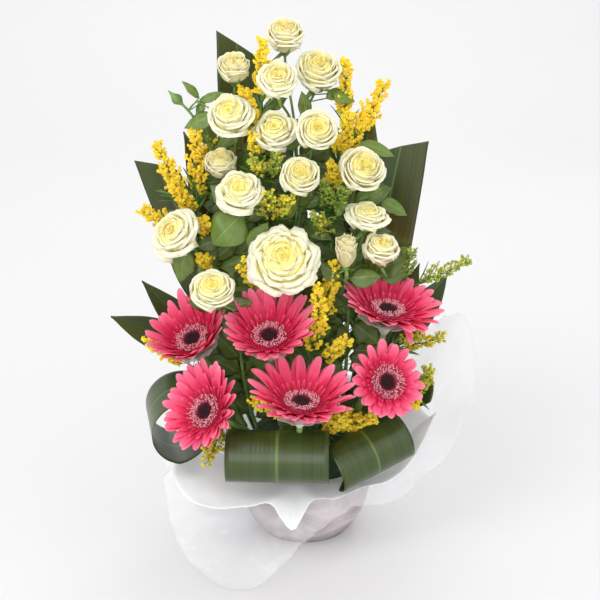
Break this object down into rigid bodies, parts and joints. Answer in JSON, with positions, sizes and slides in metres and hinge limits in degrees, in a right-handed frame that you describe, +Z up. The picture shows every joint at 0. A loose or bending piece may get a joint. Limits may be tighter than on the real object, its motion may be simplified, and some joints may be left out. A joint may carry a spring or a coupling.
{
  "type": "flower basket arrangement",
  "caption": "Tall fan-shaped flower arrangement in a round bowl, with pink daisy blooms, cream roses, broad leaves and a collar of white paper and clear film.",
  "frame": {"origin": "middle of the underside of the bowl's base", "axes": "+Z up along the arrangement, -Y towards the front that the flowers face, +X to the right as seen from the front"},
  "size_m": [0.3803, 0.3149, 0.537],
  "materials": {
    "bowl": "matt, mottled pinkish grey",
    "clear_film": "clear glossy film",
    "white_paper": "matt white tissue paper",
    "pink_petal": "satin petals, deep pink inside and pale at the tips",
    "cream_petal": "satin petals, cream with a yellow heart",
    "broad_leaf": "satin dark green leaf with fine lengthwise veins",
    "clear_cup": "clear crinkled plastic",
    "green_stem": "matt green stem",
    "rose_leaf": "satin green leaf",
    "goldenrod": "powdery yellow florets on green twigs",
    "wet_foam": "dull dark green soaked foam"
  },
  "bodies": {
    "root": {"bowl": "bowl", "film_wrap": "clear_film", "paper_wrap": "white_paper", "gerbera_1_bloom": "pink_petal", "gerbera_2_bloom": "pink_petal", "gerbera_3_bloom": "pink_petal", "gerbera_4_bloom": "pink_petal", "gerbera_5_bloom": "pink_petal", "gerbera_6_bloom": "pink_petal", "rose_01": "cream_petal", "rose_02": "cream_petal", "rose_03": "cream_petal", "rose_04": "cream_petal", "rose_05": "cream_petal", "rose_06": "cream_petal", "rose_07": "cream_petal", "rose_08": "cream_petal", "rose_09": "cream_petal", "rose_10": "cream_petal", "rose_11": "cream_petal", "rose_12": "cream_petal", "rose_13": "cream_petal", "rose_14": "cream_petal", "rose_15": "cream_petal", "rose_16": "cream_petal", "rose_17": "cream_petal", "looped_leaf_front": "broad_leaf", "looped_leaf_front_right": "broad_leaf", "looped_leaf_left": "broad_leaf", "looped_leaf_right": "broad_leaf", "gerbera_1_cup": "clear_cup", "gerbera_2_cup": "clear_cup", "gerbera_3_cup": "clear_cup", "gerbera_4_cup": "clear_cup", "gerbera_1_stem": "green_stem", "gerbera_2_stem": "green_stem", "gerbera_3_stem": "green_stem", "gerbera_4_stem": "green_stem", "gerbera_5_stem": "green_stem", "gerbera_6_stem": "green_stem", "pointed_leaf_1": "broad_leaf", "pointed_leaf_2": "broad_leaf", "pointed_leaf_3": "broad_leaf", "pointed_leaf_4": "broad_leaf", "pointed_leaf_5": "broad_leaf", "pointed_leaf_6": "broad_leaf", "pointed_leaf_7": "broad_leaf", "pointed_leaf_8": "broad_leaf", "pointed_leaf_9": "broad_leaf", "rose_spray_top": "rose_leaf", "rose_spray_left_top": "rose_leaf", "rose_spray_centre": "rose_leaf", "rose_spray_left": "rose_leaf", "rose_spray_right": "rose_leaf", "goldenrod_left": "goldenrod", "goldenrod_middle": "goldenrod", "goldenrod_right": "goldenrod", "goldenrod_far_right": "goldenrod", "goldenrod_front": "goldenrod", "floral_foam": "wet_foam"}
  },
  "joints": []
}
